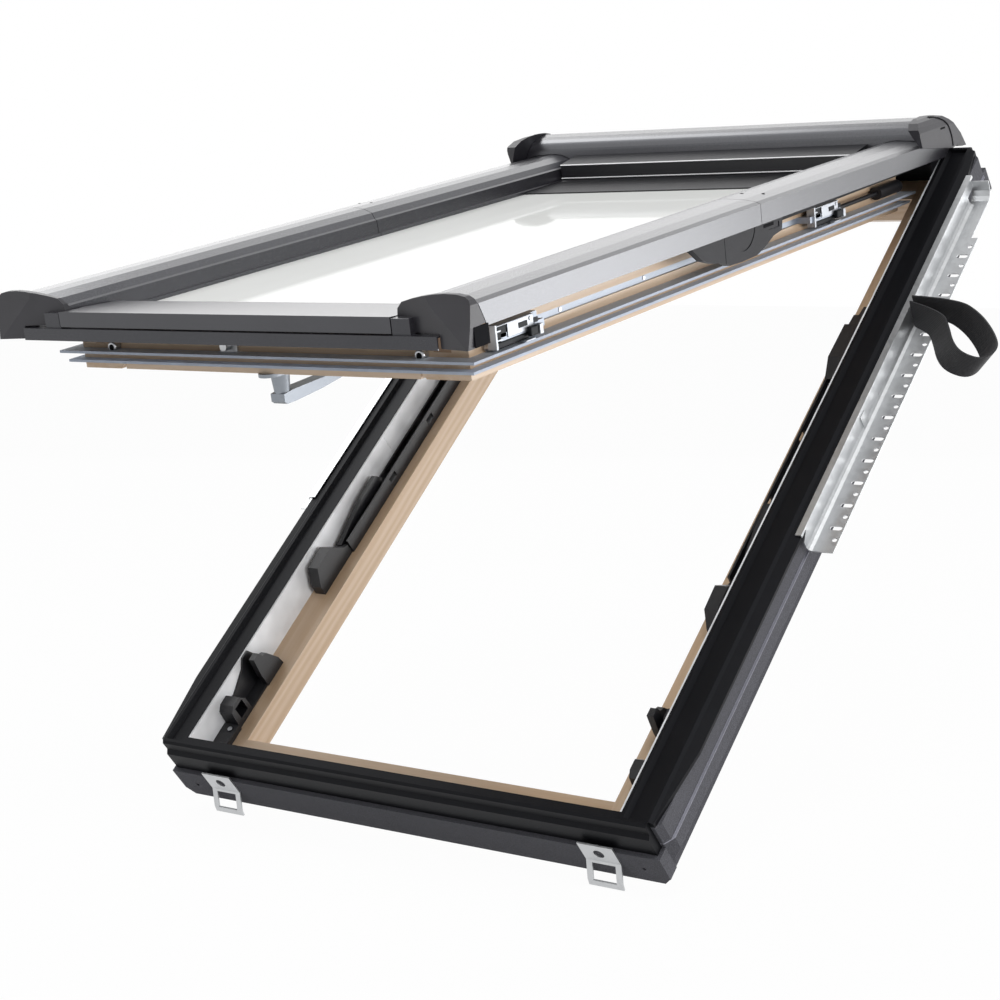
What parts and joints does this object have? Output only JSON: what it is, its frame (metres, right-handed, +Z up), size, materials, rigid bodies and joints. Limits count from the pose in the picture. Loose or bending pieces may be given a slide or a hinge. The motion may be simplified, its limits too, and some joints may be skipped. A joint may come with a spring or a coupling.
{
  "type": "top-hung and centre-pivot roof window",
  "caption": "Timber roof window with double glazing and dark outer covers, held open at the bottom in a pitched roof, with side brackets and a turning handle.",
  "frame": {"origin": "middle of the room-side face of the frame's bottom rail", "axes": "+Z up, +Y into the building and up the roof slope, +X to the right seen from outside; the frame lies at a roof pitch of 42 degrees"},
  "size_m": [0.9664, 1.2454, 0.9293],
  "materials": {
    "pine": "clear lacquer, satin",
    "lining": "satin",
    "anthracite": "semi-gloss",
    "black_profile": "satin",
    "black_plastic": "satin",
    "insulation": "rough, speckled",
    "galvanised": "bright zinc",
    "webbing": "woven",
    "gasket": "matte",
    "glass": "clear",
    "spacer": "satin",
    "handle": "satin"
  },
  "bodies": {
    "window": {"frame_left_jamb": "pine", "frame_right_jamb": "pine", "frame_bottom_rail": "pine", "frame_head_rail": "pine", "lining_left": "lining", "lining_right": "lining", "frame_cap": "black_profile", "insulation_block": "insulation", "side_bracket_left": "galvanised", "side_bracket_right": "galvanised", "head_bracket_left": "galvanised", "head_bracket_right": "galvanised", "carrying_strap": "webbing", "foot_clip_left": "galvanised", "foot_clip_right": "galvanised", "corner_plate_left": "black_plastic", "corner_plate_right": "black_plastic", "lower_catch_left": "black_plastic", "lower_catch_right": "black_plastic", "stay_rail_left": "black_plastic", "stay_rail_right": "black_plastic", "stay_arm_left": "black_plastic", "stay_arm_right": "black_plastic", "sash_left_stile": "pine", "sash_right_stile": "pine", "sash_bottom_rail": "pine", "sash_top_rail": "pine", "sash_gasket_upper": "gasket", "sash_gasket_lower": "gasket", "outer_pane": "glass", "glass_spacer": "spacer", "inner_pane": "glass", "lower_cover_left": "anthracite", "lower_cover_right": "anthracite", "upper_cover_left": "anthracite", "upper_cover_right": "anthracite", "end_cap_left": "black_plastic", "end_cap_right": "black_plastic", "bottom_cover": "anthracite", "bottom_band": "anthracite", "pivot_cover_left": "black_plastic", "pivot_cover_right": "black_plastic", "hood": "anthracite", "hood_cap_left": "black_plastic", "hood_cap_right": "black_plastic", "top_panel": "anthracite", "lock_bar_left": "galvanised", "lock_bar_right": "galvanised", "lift_rod_left": "black_plastic", "lift_rod_right": "black_plastic", "hinge_arm_left": "black_profile", "hinge_arm_right": "black_profile", "bottom_catch": "galvanised", "handle_rose": "handle"},
    "handle": {"handle_lever": "handle"}
  },
  "joints": [
    {"name": "handle_turn", "type": "hinge", "parent": "window", "child": "handle", "pos_m": [0, -0.26604, 0.55113], "axis": [0, -0.1891, 0.982], "range_deg": [-90, 90]}
  ]
}
